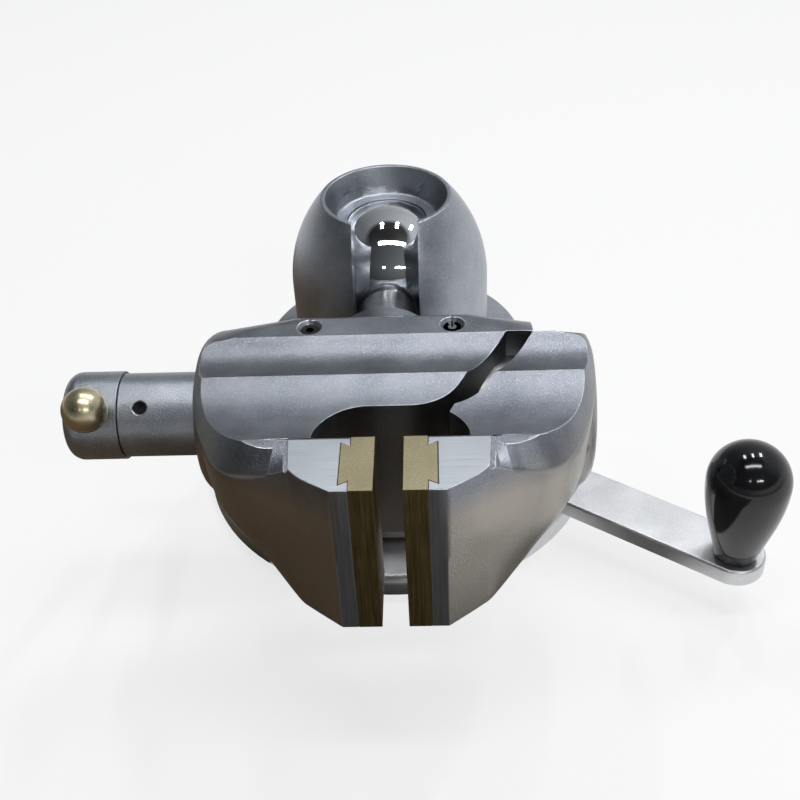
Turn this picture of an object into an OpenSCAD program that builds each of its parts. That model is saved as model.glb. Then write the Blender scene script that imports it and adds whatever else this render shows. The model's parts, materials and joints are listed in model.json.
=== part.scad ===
// Ball vise. Two half heads slide together on a round ram, and the head's stem
// ends in a ball that a slotted housing holds over a round clamping base.
// Origin: centre of the base's underside. +Z up, +X to the right of the jaws,
// -Y towards the jaws' front faces. Millimetres.

/* [Base plate] */
// Diameter of the base plate
base_d = 223; // [215:1:240]
// Thickness of the base plate
base_t = 12.5; // [11:0.5:16]
// Rounding of the plate's top edge
base_edge_r = 4.5; // [2:0.5:6]
// Circle of the bench holes
mount_pcd = 194; // [186:1:200]
// Diameter of each bench hole
mount_hole_d = 9; // [6:0.5:11]
// Number of bench holes
mount_count = 4; // [3:1:6]

/* [Clamp ring and crank] */
// Diameter of the clamp ring
ring_d = 168; // [160:1:174]
// Height of the clamp ring, as a share of the height below the cavity
ring_share = 0.414; // [0.39:0.002:0.45]
// Rounding of the ring's rim
ring_edge_r = 3; // [1:0.5:5]
// Column inside the ring, as a share of the ring's diameter
column_share = 0.595; // [0.57:0.005:0.61]
// Distance from the column's axis to the knob's axis
arm_reach = 206.5; // [180:1:240]
// Width of the crank arm
arm_w = 30; // [24:1:36]
// Thickness of the crank arm
arm_t = 10; // [8:0.5:12]
// Bevel along the arm's edges
arm_bevel = 1; // [0.5:0.25:2]
// Direction of the arm when clamped, from +X
arm_angle = -34.4; // [-50:1:-20]
// Diameter of the knob
knob_d = 40; // [34:1:44]
// Height of the knob
knob_h = 66.7; // [58:1:76]
// Diameter of the knob's foot
knob_foot_d = 22; // [18:1:28]
// Diameter of the knob's spindle
spindle_d = 8; // [6:0.5:10]

/* [Pedestal and socket housing] */
// Wall of the pedestal round its cavity, which takes the housing's screws
shoulder_wall = 12.6; // [11:0.2:16]
// Distance of the shoulder's edge below the ball's centre
shoulder_drop = 46; // [44:1:52]
// Height of the shoulder's upright edge
flange_t = 4; // [3:0.5:6]
// Diameter of the housing's round wall
housing_d = 103; // [98:1:108]
// Radius of the housing's crown, seen from the side
crown_r = 71.3; // [66:0.5:80]
// Height of the rim above the ball's centre
rim_h = 45.8; // [44:0.2:48]
// Width of the rim's flat
rim_w = 2; // [1:0.25:4]
// Width of the stem's slot
slot_w = 32.2; // [30:0.2:36]
// Depth of the slot's round floor below the ball's centre, less its radius
slot_drop = 18; // [12:0.5:22]
// Depth of the pedestal's cavity, as a share of the height above the base plate
cavity_share = 0.267; // [0.24:0.001:0.29]

/* [Pressure parts] */
// Diameter of each push pin
pin_d = 6; // [4:0.5:6]
// Thickness of the pressure plate
plate_t = 8; // [6:0.5:9]
// Height of the pressure cup
cup_h = 31; // [24:1:34]

/* [Ball and stem] */
// Diameter of the ball
ball_d = 75; // [70:0.5:76]
// Height of the ball's centre above the bench
ball_h = 130; // [128:1:140]
// Diameter of the stem
stem_d = 28.7; // [24:0.5:29.5]
// Diameter of the turned groove at the ball
groove_d = 24; // [20:0.5:26]
// Width of that groove
groove_w = 5; // [3:0.5:7]

/* [Head] */
// Width of the jaws, along the height of the head
jaw_w = 76; // [70:1:84]
// Distance of the jaws' front faces from the ball's centre
head_reach = 211; // [205:1:225]
// Depth of the jaw faces, front to back
pad_depth = 31; // [26:0.5:36]
// Width of each jaw's flat front beside its insert
pad_front_w = 6.8; // [5:0.2:10]
// Distance of the ram's axis from the ball's centre
ram_reach = 116.3; // [112:0.5:118]
// Width of the closed head across the ends of its barrel
head_w = 163; // [156:1:172]
// Radius of each wing at its widest level
wing_r = 44.5; // [40:0.5:48]
// Distance of each wing's side inside the barrel's end
wing_in = 2; // [1:0.5:4]
// Distance of each wing's centre ahead of the ram's axis
wing_ahead = 28.7; // [26:0.5:32]
// Radius of each front corner, between the wing and the pad
cheek_r = 13.5; // [11:0.5:15]
// Distance of these corners' front ahead of the throat's edge
brow = 10.5; // [8:0.5:13]
// Height of the sloping band round the top
band_h = 11; // [8:0.5:14]
// Width of that band, seen from above
band_w = 7.5; // [5:0.5:10]
// Radius of the barrel behind the ledge
barrel_r = 42; // [39.5:0.5:44]
// Radius of the barrel at its ends
barrel_end_r = 37.5; // [34:0.5:37.5]
// Depth of the two hollows in the top
hollow_depth = 3.6; // [2:0.2:5]
// Diameter of the boss that takes the stem
boss_d = 52; // [46:1:56]

/* [Jaw inserts] */
// Thickness of an insert in front of its tail
insert_t = 9.6; // [8:0.2:12]
// Thickness of the insert's dovetail tail
tail_t = 3.7; // [3:0.1:5]
// Width of the tail at its foot
tail_w = 24.1; // [20:0.1:26]
// Amount by which the tail is narrower at its neck, each side
tail_undercut = 2; // [1:0.25:3]
// Opening between the inserts at rest
jaw_gap = 11; // [2:0.5:50]

/* [Ram and screw] */
// Diameter of the ram
ram_d = 50; // [44:0.5:54]
// Diameter of the bore through the ram
ram_bore_d = 24; // [22:0.5:28]
// Diameter of the lead screw
screw_d = 18; // [14:0.5:20]
// Length of the nut
nut_len = 30; // [24:1:36]
// Outside diameter of the sleeve
sleeve_d = 38; // [34:0.5:40]
// Length of the sleeve that shows
sleeve_len = 35.5; // [28:0.5:44]
// Diameter of the screw's journal in the sleeve
journal_d = 24; // [22:0.5:26]
// Diameter of the end cap
cap_d = 40; // [37:0.5:42]
// Length of the end cap
cap_len = 25.5; // [23:0.5:32]
// Rounding of the cap's end
cap_round = 6.5; // [3:0.5:9]
// Diameter of the tommy bar
bar_d = 10; // [7:0.5:11]
// Diameter of the tommy bar's balls
bar_ball_d = 20; // [16:0.5:24]
// Free travel of the tommy bar through the cap
bar_travel = 54.7; // [40:1:70]
// Slope of the tommy bar at rest, up from the front
bar_angle = 43.6; // [30:1:60]

/* [Hidden] */
$fn = 96;

// Clearances: running fit, pressed fit, curved faces that face each other, flat
// faces that slide, and the overrun of every cut.
run_gap = 0.05;
press_gap = 0.02;
curve_gap = 0.3;
slide_gap = 0.1;
over = 1;

// Arcs in an outline take one point for each of these steps.
arc_steps = 16;

// Levels of the base, from the bench upwards.
washer_t = 2;
lift_gap = 1;
shoulder_z = ball_h - shoulder_drop;
body_top = shoulder_z - flange_t;
cavity_z = body_top - cavity_share * (body_top - base_t);
ring_z = base_t + washer_t + slide_gap;
ring_t = ring_share * (cavity_z - base_t);
ring_top = ring_z + ring_t;
body_z = ring_top + lift_gap;
plate_lift = 4;
plate_z = cavity_z + plate_lift;
cup_z = plate_z + plate_t;

base_r = base_d / 2;
ring_r = ring_d / 2;
column_r = ring_r * column_share;
housing_r = housing_d / 2;
pin_r = column_r + pin_d / 2 + lift_gap;
cavity_r = pin_r + pin_d / 2 + lift_gap;
shoulder_r = cavity_r + shoulder_wall;
ball_r = ball_d / 2;
seat_r = ball_r + curve_gap;
cup_bore_r = seat_r + slide_gap + slide_gap;
stem_r = stem_d / 2;

// Screws: head, socket and tip follow the thread's diameter by these shares.
head_d_share = 1.6;
head_h_share = 0.8;
socket_d_share = 0.9;
socket_h_share = 0.5;
plate_screw_d = 8;
plate_screw_len = 22;
plate_screw_count = 6;
plate_screw_r = column_r - plate_screw_d - column_r / 8;
housing_screw_d = 4;
housing_screw_count = 6;
housing_screw_r = (cavity_r + shoulder_r) / 2;
housing_screw_z = cavity_z - 2 * housing_screw_d;
head_gap = 0.25;
screw_share = 0.8;

// Clamp ring: the cam tracks start and end at these angles past each pin, and
// the arm's seat starts this far outside the tracks.
pin_count = 3;
pin_first = 90;
track_depth = 1.2;
track_from = 20;
track_to = 115.5;
track_r = pin_r + pin_d / 2 + curve_gap;
arm_seat_r = track_r + 3 * lift_gap;
arm_z = ring_top - arm_t;
arm_seat_w = ring_r - arm_seat_r;
arm_screw_size_share = 0.257;
arm_screw_shares = [0.25, 0.72];
arm_screw_d = floor(arm_seat_w * arm_screw_size_share);

// Knob profile: from the foot it swells along a quarter of a sine wave, with
// heights raised to this power.
knob_steps = 18;
knob_power = 1.1;
foot_bevel = 0.5;

// Spindle: it fills this share of the knob's height.
spindle_share = 0.8;
spindle_head_share = 1.6;

// Housing section: the lip over the ball, the funnel inside the rim and the
// fillet at the housing's foot.
lip_share = 0.7;
funnel_w = 6.8;
skirt_up = 5.2;

// Head levels and outlines, from the ball's centre.
top_z = jaw_w / 2;
ram_y = -ram_reach;
front_y = -head_reach;
pad_y = front_y + pad_depth;
wing_y = ram_y - wing_ahead;
side_x = head_w / 2;
waist_z = -8;
waist_in = 2;
slab_t = 0.2;
corner_r = 11;
corner_x = side_x - corner_r;
corner_back = 8.3;
top_corner_ahead = 2.7;
top_corner_r = 6;
wing_x = side_x - wing_in - wing_r;
cheek_x = side_x - 2 * cheek_r;
cheek_y = pad_y - brow + cheek_r;
nose_x = insert_t + pad_front_w;
ledge_back = 5.6;
ledge_y = ram_y + ledge_back;
crease_ahead = 27.4;
crease_y = ledge_y - crease_ahead;
crease_lap = 1.6;
hollow_land = 0.4;
snout_z = 12;
bottom_r = 12;
bottom_in = 13.5;
bottom_x = side_x - bottom_in;
bottom_ahead = 5.7;
bottom_y = ram_y - bottom_ahead;
shin_r = 8;
shin_out = 9.8;
shin_x = nose_x + shin_out;
shin_back = 17.3;
shin_y = front_y + shin_back;

// Pad outline, from its front corner round to the throat, as shares of the
// pad's side part and of its depth.
pad_side_w = 18;
pad_shares = [[0, 0], [0.64, 0.24], [0.92, 0.42], [1, 1]];
pad_points = [for (p = pad_shares)
    [nose_x + pad_side_w * p[0], front_y + pad_depth * p[1]]];

// Parting between the two half heads: a level stretch behind the throat, a
// fillet and a slant up to the ledge.
part_gap = 0.5;
part_angle = 58;
part_r = 23.8;
part_share = 0.16;
part_x = side_x * part_share;
part_ahead = 16.4;
part_y = ram_y - part_ahead;
throat_x = 4;
throat_back = 2;
throat_y = pad_y + throat_back;
throat_r = part_y - part_r - throat_y;
nose_angle = 50;
nose_start = 17.5;

// The ledge's tail runs on behind the moving half for this share of the way
// from the slant's end to the barrel's end.
tail_share = 0.44;

// Barrel: the middle keeps its full radius over this half length.
barrel_mid = 38;
barrel_round = 12;
boss_stand = 4.3;
boss_y = ram_y + barrel_r + boss_stand;
boss_bevel = 2;
spigot_r = 11;
spigot_len = 18;
stem_tip_r = 8;
stem_tip_len = 20;

// Ledge screws and their slits.
ledge_screw_d = 8;
ledge_screw_x = 31.5;
ledge_screw_back = 6.2;
ledge_screw_y = ledge_y + ledge_screw_back;
ledge_screw_len = 12;
ledge_screw_sink = 1.5;
ledge_bevel = 1.5;
slit_w = 0.8;
slit_depth = 2.5;

// Screw line, all along X at the ram's axis.
sleeve_in = 11.5;
sleeve_left = -side_x - sleeve_len;
sleeve_right = -side_x + sleeve_in;
sleeve_gap_w = 1.5;
sleeve_hole_d = 5.5;
sleeve_hole_bevel = 0.8;
sleeve_hole_in = 10;
sleeve_hole_x = sleeve_left + sleeve_hole_in;
sleeve_hole_angle = 48;
bush_t = 2.5;
bush_x = sleeve_right;
collar_t = 7;
collar_x = bush_x + bush_t + curve_gap;
collar_r = 16;
cap_right = sleeve_left - curve_gap;
cap_left = cap_right - cap_len;
spigot_screw_r = 8;
bar_in = 10.5;
bar_x = cap_right - bar_in;
cap_pin_d = 3;
cap_pin_in = 2.6;
cap_pin_x = cap_right - cap_pin_in;
ram_cover = 4.5;
ram_right = side_x - ram_cover + jaw_gap;
ram_end_gap = 1.2;
ram_left = collar_x + collar_t + jaw_gap + ram_end_gap;
ram_end_wall = 12;
thread_end_gap = 3;
thread_end = ram_right - ram_end_wall - jaw_gap - thread_end_gap;
nut_r = 17;
ram_pin_d = 8;
ram_pin_in = 11.5;
ram_pin_x = side_x - ram_pin_in;
ram_pin_depth = 20;
ram_pin_foot = barrel_round / 4 - barrel_end_r;
bar_front = cap_d / 2 + bar_ball_d / 2 + curve_gap;
bar_back = bar_front + bar_travel;
bar_seat = 4;
key_d = 4;
key_len = 12;

// Points on an arc about c from angle a0 to angle a1.
function arc(c, r, a0, a1) =
    [for (i = [0:arc_steps]) let (a = a0 + (a1 - a0) * i / arc_steps)
        c + r * [cos(a), sin(a)]];

// The slanted part of the parting, moved out by gap from the fixed side.
function parting(gap, from) =
    let (c = [part_x, part_y],
         r = part_r + gap,
         a1 = part_angle - 90,
         foot = c + r * [cos(a1), sin(a1)],
         run = (ledge_y - gap - foot[1]) / sin(part_angle))
    concat(arc(c, r, from, a1),
           [foot + run * [cos(part_angle), sin(part_angle)]]);

// The tail's end: from the slant's upper end towards the barrel's end.
slant_end = parting(0, 0)[arc_steps + 1];
rail_x = slant_end[0] + tail_share * (side_x - slant_end[0]);

// A socket head screw that points up from its seat at the origin.
module cap_screw(d, len) {
    head_h = d * head_h_share;
    difference() {
        union() {
            cylinder(d = d, h = len);
            translate([0, 0, -head_h]) cylinder(d = d * head_d_share, h = head_h);
        }
        translate([0, 0, -head_h - over])
            cylinder(d = d * socket_d_share, h = over + d * socket_h_share, $fn = 6);
    }
}

// The hole for such a screw, with room for its head down to depth.
module screw_hole(d, len, depth) {
    if (depth > 0) translate([0, 0, -depth])
        cylinder(d = d * head_d_share + 2 * head_gap, h = depth);
    translate([0, 0, -over]) cylinder(r = d / 2 + run_gap, h = len + over);
}

// A cylinder along X from x0 to x1 at the ram's axis.
module along_x(r, x0, x1) {
    translate([x0, ram_y, 0]) rotate([0, 90, 0]) cylinder(r = r, h = x1 - x0);
}

// Repeats its children count times round the Z axis at radius r.
module ring_of(count, r, first = 0) {
    for (i = [0:count - 1]) rotate(first + i * 360 / count) translate([r, 0, 0]) children();
}

module base_plate() {
    seat = plate_screw_d * head_h_share + head_gap;
    color("dimgray") difference() {
        rotate_extrude($fn = 180)
            polygon(concat([[0, 0], [base_r - arm_bevel, 0], [base_r, arm_bevel]],
                arc([base_r - base_edge_r, base_t - base_edge_r], base_edge_r, 0, 90),
                [[0, base_t]]));
        ring_of(mount_count, mount_pcd / 2, 180 / mount_count)
            translate([0, 0, -over]) cylinder(d = mount_hole_d, h = base_t + 2 * over);
        ring_of(plate_screw_count, plate_screw_r) translate([0, 0, seat])
            screw_hole(plate_screw_d, base_t, seat + over);
    }
}

module plate_screws() {
    seat = plate_screw_d * head_h_share + head_gap;
    color("dimgray") ring_of(plate_screw_count, plate_screw_r)
        translate([0, 0, seat]) cap_screw(plate_screw_d, plate_screw_len);
}

module thrust_washer() {
    color("darkgoldenrod") translate([0, 0, base_t]) difference() {
        cylinder(r = ring_r - ring_edge_r, h = washer_t);
        translate([0, 0, -over]) cylinder(r = column_r + run_gap, h = washer_t + 2 * over);
    }
}

module pedestal() {
    color("slategray") difference() {
        rotate_extrude($fn = 180)
            polygon([[0, base_t], [column_r, base_t], [column_r, body_z],
                     [shoulder_r - arm_bevel, body_z], [shoulder_r, body_z + arm_bevel],
                     [shoulder_r, body_top], [cavity_r, body_top],
                     [cavity_r, cavity_z], [0, cavity_z]]);
        ring_of(plate_screw_count, plate_screw_r) translate([0, 0, base_t])
            screw_hole(plate_screw_d, plate_screw_len - plate_screw_d / 2, 0);
        ring_of(pin_count, pin_r, pin_first) translate([0, 0, body_z - over])
            cylinder(r = pin_d / 2 + run_gap, h = cavity_z - body_z + 2 * over);
        ring_of(housing_screw_count, housing_screw_r)
            translate([0, 0, housing_screw_z]) screw_hole(housing_screw_d,
                body_top - housing_screw_z + over, housing_screw_z - body_z + over);
    }
}

// Half section of the housing: radius and height from the ball's centre.
module housing_section() {
    lip_z = lip_share * rim_h;
    lip_r = sqrt(seat_r * seat_r - lip_z * lip_z);
    funnel_r = lip_r + funnel_w;
    crown_drop = flange_t / 2;
    crown_end = asin((rim_h + crown_drop) / crown_r);
    rim_r = housing_r - crown_r + crown_r * cos(crown_end);
    skirt_z = skirt_up - shoulder_drop;
    seat_end = asin(lip_z / seat_r);
    polygon(concat(
        [[cup_bore_r, -shoulder_drop - flange_t], [shoulder_r, -shoulder_drop - flange_t],
         [shoulder_r, -shoulder_drop]],
        arc([housing_r + flange_t, skirt_z + flange_t], flange_t, 270, 180),
        arc([housing_r - crown_r, -crown_drop], crown_r, 0, crown_end),
        [[rim_r - rim_w, rim_h], [funnel_r, lip_z + rim_w / 4]],
        arc([0, 0], seat_r, seat_end, 0),
        [[cup_bore_r, 0]]));
}

module socket_housing() {
    color("rosybrown") difference() {
        translate([0, 0, ball_h]) rotate_extrude($fn = 180) housing_section();
        translate([0, 0, ball_h]) rotate([90, 0, 0]) linear_extrude(shoulder_r) {
            translate([0, -slot_drop]) circle(d = slot_w);
            translate([-slot_w / 2, -slot_drop]) square([slot_w, rim_h + slot_drop + over]);
        }
        ring_of(housing_screw_count, housing_screw_r) translate([0, 0, body_top])
            screw_hole(housing_screw_d, flange_t + run_gap, 0);
    }
}

module housing_screws() {
    color("dimgray") ring_of(housing_screw_count, housing_screw_r)
        translate([0, 0, housing_screw_z])
            cap_screw(housing_screw_d, shoulder_z - housing_screw_z);
}

module crank_frame() {
    rotate(arm_angle) children();
}

module clamp_ring() {
    seat = arm_screw_d * head_h_share + lift_gap;
    color("darkslategray") difference() {
        translate([0, 0, ring_z]) rotate_extrude($fn = 180)
            polygon(concat([[column_r + run_gap, 0], [ring_r - arm_bevel, 0],
                            [ring_r, arm_bevel]],
                arc([ring_r - ring_edge_r, ring_t - ring_edge_r], ring_edge_r, 0, 90),
                [[column_r + run_gap, ring_t]]));
        for (i = [0:pin_count - 1])
            translate([0, 0, ring_top - track_depth])
                rotate(pin_first + i * 360 / pin_count - track_to)
                    rotate_extrude(angle = track_to - track_from)
                        translate([column_r - over, 0])
                            square([track_r - column_r + over, track_depth + over]);
        crank_frame() {
            translate([arm_seat_r, -arm_w / 2 - run_gap, arm_z])
                cube([ring_r, arm_w + 2 * run_gap, arm_t + over]);
            for (t = arm_screw_shares) translate([arm_seat_r + t * arm_seat_w, 0, ring_z + seat])
                screw_hole(arm_screw_d, ring_t, seat + over);
        }
    }
}

// Outline of the arm, drawn in by inset.
module arm_outline(inset) {
    translate([arm_seat_r + press_gap, inset - arm_w / 2])
        square([arm_reach - arm_seat_r, arm_w - 2 * inset]);
    translate([arm_reach, 0]) circle(d = arm_w - 2 * inset, $fn = 64);
}

module crank_arm() {
    color("slategray") crank_frame() difference() {
        translate([0, 0, arm_z]) hull() {
            linear_extrude(slab_t) arm_outline(arm_bevel);
            translate([0, 0, arm_bevel])
                linear_extrude(arm_t - 2 * arm_bevel) arm_outline(0);
            translate([0, 0, arm_t - slab_t]) linear_extrude(slab_t) arm_outline(arm_bevel);
        }
        translate([arm_reach, 0, arm_z - over])
            cylinder(r = spindle_d / 2 + press_gap, h = arm_t + 2 * over);
        for (t = arm_screw_shares)
            translate([arm_seat_r + t * arm_seat_w, 0, arm_z - over])
                cylinder(r = arm_screw_d / 2 + run_gap, h = over + screw_share * arm_t);
    }
}

module arm_screws() {
    seat = arm_screw_d * head_h_share + lift_gap;
    color("dimgray") crank_frame() for (t = arm_screw_shares)
        translate([arm_seat_r + t * arm_seat_w, 0, ring_z + seat])
            cap_screw(arm_screw_d, arm_z - ring_z - seat + screw_share * arm_t - lift_gap);
}

module knob_spindle() {
    color("silver") crank_frame() translate([arm_reach, 0, arm_z]) {
        cylinder(d = spindle_d, h = arm_t + spindle_share * knob_h);
        translate([0, 0, -arm_bevel])
            cylinder(d = spindle_head_share * spindle_d, h = arm_bevel);
    }
}

module crank_knob() {
    foot_r = knob_foot_d / 2;
    knob_r = knob_d / 2;
    swell_z = knob_h - knob_r;
    color("black") crank_frame()
        translate([arm_reach, 0, ring_top + curve_gap]) difference() {
            rotate_extrude() polygon(concat([[0, 0], [foot_r - foot_bevel, 0]],
                [for (i = [0:knob_steps - 1]) let (t = i / knob_steps)
                    [foot_r + (knob_r - foot_r) * sin(90 * pow(t, knob_power)),
                     foot_bevel + (swell_z - foot_bevel) * t]],
                arc([0, swell_z], knob_r, 0, 90)));
            translate([0, 0, -over])
                cylinder(r = spindle_d / 2 + run_gap,
                         h = spindle_share * knob_h + over + curve_gap);
        }
}

module push_pins() {
    color("silver") ring_of(pin_count, pin_r, pin_first)
        translate([0, 0, ring_top + curve_gap])
            cylinder(d = pin_d, h = plate_z - ring_top - curve_gap);
}

module pressure_plate() {
    color("gray") translate([0, 0, plate_z]) cylinder(r = cavity_r - curve_gap, h = plate_t);
}

module pressure_cup() {
    color("darkgoldenrod") difference() {
        translate([0, 0, cup_z]) cylinder(r = cup_bore_r - curve_gap, h = cup_h);
        translate([0, 0, ball_h]) sphere(r = seat_r, $fn = 128);
    }
}

module ball() {
    spot_y = sqrt(ball_r * ball_r - stem_r * stem_r);
    color("gainsboro") translate([0, 0, ball_h]) rotate([90, 0, 0]) difference() {
        sphere(r = ball_r, $fn = 128);
        translate([0, 0, spot_y]) cylinder(r = stem_r, h = ball_r);
        translate([0, 0, spot_y - stem_tip_len - curve_gap])
            cylinder(r = stem_tip_r + run_gap, h = ball_r);
    }
}

// Places its children in the head's own frame, at the ball's centre.
module head_frame() {
    translate([0, 0, ball_h]) children();
}

module stem() {
    root = sqrt(ball_r * ball_r - stem_r * stem_r) + curve_gap;
    bevel = (stem_r - groove_d / 2) / 2;
    color("silver") head_frame() rotate([90, 0, 0]) rotate_extrude()
        polygon([[0, root - stem_tip_len], [stem_tip_r, root - stem_tip_len],
                 [stem_tip_r, root], [groove_d / 2, root],
                 [groove_d / 2, root + groove_w - bevel],
                 [stem_r, root + groove_w], [stem_r, -boss_y],
                 [spigot_r, -boss_y], [spigot_r, spigot_len - boss_y],
                 [0, spigot_len - boss_y]]);
}

// A thin slab at height z through the circles of both sides, each given as
// [x, y, radius] for the right side.
module head_slab(z, circles) {
    translate([0, 0, z]) linear_extrude(slab_t) for (s = [-1, 1], c = circles)
        translate([s * c[0], c[1]]) circle(r = c[2], $fn = 64);
}

// A thin slab of the nose between the two pad fronts.
module nose_slab(z) {
    translate([-nose_x, front_y, z]) cube([2 * nose_x, pad_depth, slab_t]);
}

// The body of the head: wings, rear corners and front corners, drawn in above
// the sloping band, below the waist and towards the bottom.
module head_body() {
    hull() {
        head_slab(top_z - slab_t,
            [[wing_x, wing_y, wing_r - band_w], [corner_x, ram_y - top_corner_ahead, top_corner_r],
             [cheek_x - band_w, cheek_y + band_w / 2, cheek_r - band_w / 4]]);
        head_slab(top_z - band_h,
            [[wing_x, wing_y, wing_r], [corner_x, ram_y + corner_back, corner_r],
             [cheek_x, cheek_y, cheek_r]]);
        head_slab(waist_z,
            [[wing_x, wing_y, wing_r - waist_in],
             [corner_x, ram_y + corner_back, corner_r - waist_in],
             [cheek_x, cheek_y, cheek_r - waist_in]]);
        head_slab(-top_z, [[bottom_x, bottom_y, bottom_r], [shin_x, shin_y, shin_r]]);
    }
}

// The snout: it spreads from the pads' outline on top to the body's flanks.
module head_snout() {
    hull() {
        translate([0, 0, top_z - slab_t]) linear_extrude(slab_t) for (s = [-1, 1])
            scale([s, 1]) polygon(concat([[0, front_y]], pad_points, [[0, pad_y]]));
        nose_slab(top_z - band_h);
        head_slab(snout_z, [[cheek_x - cheek_r / 2, cheek_y, cheek_r - waist_in]]);
        nose_slab(snout_z);
        nose_slab(-top_z);
        head_slab(-top_z, [[shin_x, shin_y, shin_r]]);
    }
}

// The whole closed head before it is parted: body, snout and the barrel that
// holds the ram.
module head_blank() {
    head_body();
    head_snout();
    intersection() {
        translate([0, ram_y, 0]) rotate([0, 90, 0]) rotate_extrude($fn = 120)
            polygon(concat([[0, -side_x]],
                arc([barrel_end_r - barrel_round, barrel_round - side_x], barrel_round, 270, 360),
                [[barrel_r, -barrel_mid], [barrel_r, barrel_mid]],
                arc([barrel_end_r - barrel_round, side_x - barrel_round], barrel_round, 0, 90),
                [[0, side_x]]));
        translate([-side_x - over, -head_reach, -top_z])
            cube([head_w + 2 * over, head_reach, jaw_w]);
    }
}

// The shallow hollows in the top run right across the head: one behind and
// one ahead of a crease. Where they meet the sloping band they shape its edge.
module top_hollows() {
    rear_end = ledge_y - hollow_land;
    front_end = pad_y + hollow_land;
    rear_chord = (rear_end - crease_y + crease_lap) / 2;
    front_chord = (crease_y - front_end + crease_lap) / 2;
    for (c = [[rear_chord, rear_end - rear_chord], [front_chord, front_end + front_chord]]) {
        r = (c[0] * c[0] + hollow_depth * hollow_depth) / (2 * hollow_depth);
        translate([-side_x - over, c[1], top_z + r - hollow_depth]) rotate([0, 90, 0])
            cylinder(r = r, h = head_w + 2 * over, $fn = 180);
    }
}

// Plan of the fixed half, from the insert's seat round the throat and slant.
module fixed_plan() {
    polygon(concat(
        [[-insert_t, front_y - over], [-insert_t, pad_y]],
        arc([-throat_x, throat_y], throat_r, 180 + asin((throat_y - pad_y) / throat_r), 90),
        parting(0, -90),
        [[rail_x, ledge_y], [rail_x, 0], [-side_x - over, 0],
         [-side_x - over, front_y - over]]));
}

// Plan of the moving half, in the closed position.
module moving_plan() {
    polygon(concat(
        [[insert_t, front_y - over], [insert_t, pad_y]],
        arc([throat_x, throat_y], throat_r + part_gap,
            -asin((throat_y - pad_y) / (throat_r + part_gap)), nose_angle),
        parting(part_gap, nose_start - 90),
        [[rail_x + part_gap, ledge_y - part_gap], [rail_x + part_gap, 0],
         [side_x + over, 0], [side_x + over, front_y - over]]));
}

// Points of an insert's dovetail tail in plan, grown by gap; its foot points
// to -X and its neck lies at the insert's back.
function tail_points(gap) =
    let (mid = front_y + pad_depth / 2, foot = tail_w / 2 + gap, neck = foot - tail_undercut)
    [[-insert_t, mid - neck], [-insert_t - tail_t - gap, mid - foot],
     [-insert_t - tail_t - gap, mid + foot], [-insert_t, mid + neck]];

// The key screw that stops an insert, half in its tail and half in the jaw.
module insert_key(r, len) {
    translate([-insert_t - tail_t, front_y + pad_depth / 2, -top_z])
        cylinder(r = r, h = len);
}

module jaw_insert() {
    difference() {
        translate([0, 0, -top_z]) linear_extrude(jaw_w)
            polygon(concat([[0, front_y], [-insert_t, front_y]], tail_points(0),
                           [[-insert_t, pad_y], [0, pad_y]]));
        translate([0, 0, -over]) insert_key(key_d / 2 + run_gap, key_len + over);
    }
}

module key_screw() {
    difference() {
        insert_key(key_d / 2, key_len);
        translate([0, 0, -over])
            insert_key(key_d / 4, over + key_d * socket_h_share, $fn = 6);
    }
}

module tail_cut() {
    grown = tail_points(slide_gap);
    translate([0, 0, -top_z - over]) linear_extrude(jaw_w + 2 * over)
        polygon(concat([grown[0] + [over, 0]], grown, [grown[3] + [over, 0]]));
    translate([0, 0, -over]) insert_key(key_d / 2 + run_gap, key_len + over);
}

// A ledge screw's hole with its bevelled mouth and the slit behind it.
module ledge_hole() {
    translate([0, 0, top_z - barrel_r])
        cylinder(r = ledge_screw_d / 2 + run_gap, h = barrel_r + over);
    translate([0, 0, top_z - ledge_bevel])
        cylinder(r1 = ledge_screw_d / 2 + run_gap, h = ledge_bevel + over,
                 r2 = ledge_screw_d / 2 + run_gap + ledge_bevel + over);
    translate([-slit_w / 2, 0, top_z - slit_depth]) cube([slit_w, barrel_r, slit_depth + over]);
}

module fixed_jaw() {
    color("lightsteelblue") head_frame() difference() {
        union() {
            intersection() {
                head_blank();
                translate([0, 0, -top_z - over]) linear_extrude(jaw_w + 2 * over) fixed_plan();
            }
            translate([0, boss_y, 0]) rotate([90, 0, 0]) {
                cylinder(d1 = boss_d - 2 * boss_bevel, d2 = boss_d, h = boss_bevel);
                translate([0, 0, boss_bevel]) cylinder(d = boss_d, h = barrel_end_r / 2);
            }
        }
        top_hollows();
        along_x(ram_d / 2 + run_gap, sleeve_right, side_x);
        along_x(sleeve_d / 2 + press_gap, -side_x - over, sleeve_right + over);
        along_x(sleeve_d / 2 + sleeve_gap_w, -side_x - over, -side_x + sleeve_gap_w);
        translate([0, boss_y + over, 0]) rotate([90, 0, 0])
            cylinder(r = spigot_r + press_gap, h = spigot_len + over + run_gap);
        for (s = [-1, 1]) translate([s * ledge_screw_x, ledge_screw_y, 0]) ledge_hole();
        tail_cut();
    }
}

module ledge_set_screws() {
    color("dimgray") head_frame() for (s = [-1, 1])
        translate([s * ledge_screw_x, ledge_screw_y, top_z - ledge_screw_sink]) difference() {
            translate([0, 0, -ledge_screw_len]) cylinder(d = ledge_screw_d, h = ledge_screw_len);
            translate([0, 0, -ledge_screw_d * socket_h_share])
                cylinder(d = ledge_screw_d / 2, h = ledge_screw_d, $fn = 6);
        }
}

module fixed_insert() {
    color("darkkhaki") head_frame() jaw_insert();
}

module fixed_insert_key() {
    color("dimgray") head_frame() key_screw();
}

// Direction of the sleeve's small hole, out from the ram's axis.
module sleeve_hole_frame() {
    translate([sleeve_hole_x, ram_y, 0]) rotate([90 - sleeve_hole_angle, 0, 0]) children();
}

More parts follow.
